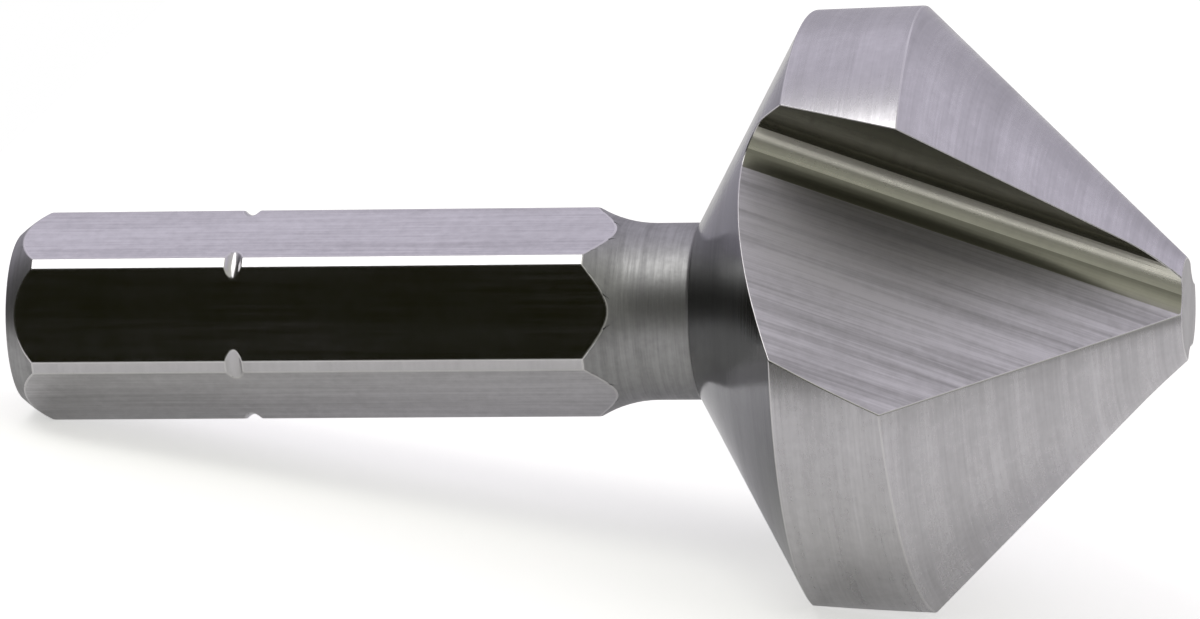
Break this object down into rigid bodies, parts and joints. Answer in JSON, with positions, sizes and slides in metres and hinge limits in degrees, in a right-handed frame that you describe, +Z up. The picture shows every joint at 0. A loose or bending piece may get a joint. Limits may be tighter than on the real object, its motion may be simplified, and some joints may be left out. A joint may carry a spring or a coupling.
{
  "type": "countersink bit",
  "caption": "Countersink bit with a fluted conical cutting head, flat tip and short round neck, on a hexagon insert shank with a retention notch.",
  "frame": {"origin": "middle of the box's underside, on the surface that the bit lies on", "axes": "+Z up, +X along the bit from shank to tip as it lies, with the tip raised about 12 degrees"},
  "size_m": [0.0402, 0.0204, 0.0198],
  "materials": {
    "steel": "ground bare steel"
  },
  "bodies": {
    "root": {"countersink_bit": "steel"}
  },
  "joints": []
}
